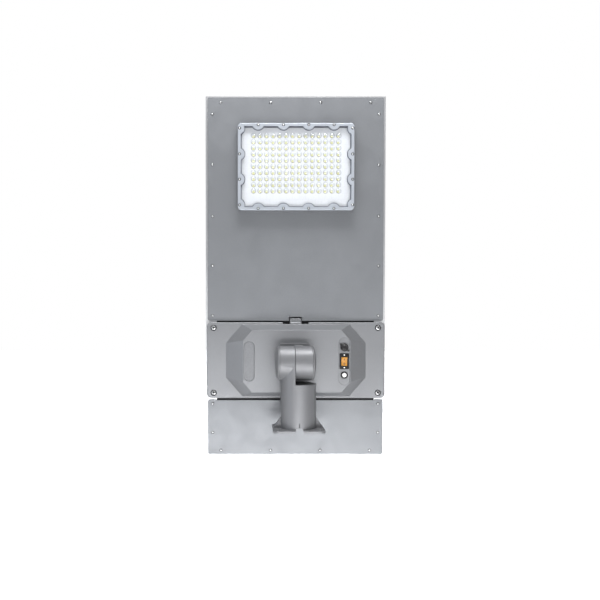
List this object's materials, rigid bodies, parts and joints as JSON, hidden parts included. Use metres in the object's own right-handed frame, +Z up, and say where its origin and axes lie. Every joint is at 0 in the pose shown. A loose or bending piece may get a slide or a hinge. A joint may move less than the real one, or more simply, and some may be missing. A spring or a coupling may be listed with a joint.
{
  "type": "solar street lamp",
  "caption": "Framed solar panel with a light module, a control housing and a tilting tubular pole sleeve on its back.",
  "frame": {"origin": "centre of the pole sleeve's mouth, on the sleeve's axis and in the plane of its foot", "axes": "+Z up the sleeve's axis and the lamp's length, -Y out of the light side, +Y out of the solar glass, +X to the right seen from the light side"},
  "size_m": [0.4, 0.172, 0.8],
  "materials": {
    "solar_glass": "clear tempered glass",
    "solar_cells": "dark mono cells under film, with silver busbars",
    "frame_aluminium": "satin anodised",
    "pan_coat": "fine silver-grey powder coat",
    "housing_coat": "silver-grey metallic paint on a casting",
    "plain_aluminium": "mill finish",
    "cast_aluminium": "blasted casting",
    "bezel_aluminium": "bright silver paint on a casting",
    "zinc_steel": "zinc-plated",
    "black_plastic": "fine moulded texture",
    "black_rubber": "matte",
    "grey_rubber": "matte",
    "orange_plastic": "moulded, slightly glossy",
    "white_plastic": "satin",
    "battery_wrap": "blue shrink wrap",
    "label_film": "blank grey film",
    "white_board": "white solder mask",
    "clear_lens": "clear moulded lens plate"
  },
  "bodies": {
    "arm": {"pole_sleeve": "housing_coat", "set_screw_1": "zinc_steel", "set_screw_2": "zinc_steel", "pivot_bolt": "zinc_steel", "washer_left": "zinc_steel", "washer_right": "zinc_steel", "pivot_nut": "zinc_steel", "end_cap_left": "housing_coat"},
    "head": {"solar_glass": "solar_glass", "solar_laminate": "solar_cells", "frame_rail_left": "frame_aluminium", "frame_rail_right": "frame_aluminium", "frame_rail_top": "frame_aluminium", "frame_rail_bottom": "frame_aluminium", "junction_box": "black_plastic", "upper_back_pan": "pan_coat", "lower_back_pan": "pan_coat", "control_housing": "housing_coat", "housing_seal": "grey_rubber", "housing_back_plate": "plain_aluminium", "housing_screw_1": "zinc_steel", "housing_screw_2": "zinc_steel", "housing_screw_3": "zinc_steel", "housing_screw_4": "zinc_steel", "blank_label": "label_film", "charge_socket": "black_plastic", "switch_surround": "black_plastic", "button_ring": "black_plastic", "battery_pack": "battery_wrap", "battery_strap_left": "zinc_steel", "battery_strap_right": "zinc_steel", "charge_controller": "cast_aluminium", "lamp_lead": "black_rubber", "battery_lead": "black_rubber", "lamp_base": "housing_coat", "lamp_board": "white_board", "lamp_lens": "clear_lens", "lamp_seal": "grey_rubber", "lamp_bezel": "bezel_aluminium", "tilt_bracket": "housing_coat", "bracket_bolt_1": "zinc_steel", "bracket_bolt_2": "zinc_steel", "bracket_bolt_3": "zinc_steel", "bracket_bolt_4": "zinc_steel", "end_cap_right": "housing_coat"},
    "rocker": {"switch_rocker": "orange_plastic"},
    "button": {"push_button": "white_plastic"},
    "cap": {"socket_cap": "black_rubber"}
  },
  "joints": [
    {"name": "head_tilt", "type": "hinge", "parent": "arm", "child": "head", "pos_m": [0, 0, 0.14], "axis": [1, 0, 0], "range_deg": [0, 90]},
    {"name": "rocker_tip", "type": "hinge", "parent": "head", "child": "rocker", "pos_m": [0.103, 0.0462, 0.14], "axis": [1, 0, 0], "range_deg": [-20, 0]},
    {"name": "button_press", "type": "slide", "parent": "head", "child": "button", "axis": [0, 1, 0], "range_m": [0, 0.0018], "stiffness_N_per_m": 900, "springref_m": -0.001},
    {"name": "cap_swing", "type": "hinge", "parent": "head", "child": "cap", "pos_m": [0.111, 0.0428, 0.1634], "axis": [0.6363, 0, 0.7714], "range_deg": [0, 100]}
  ]
}
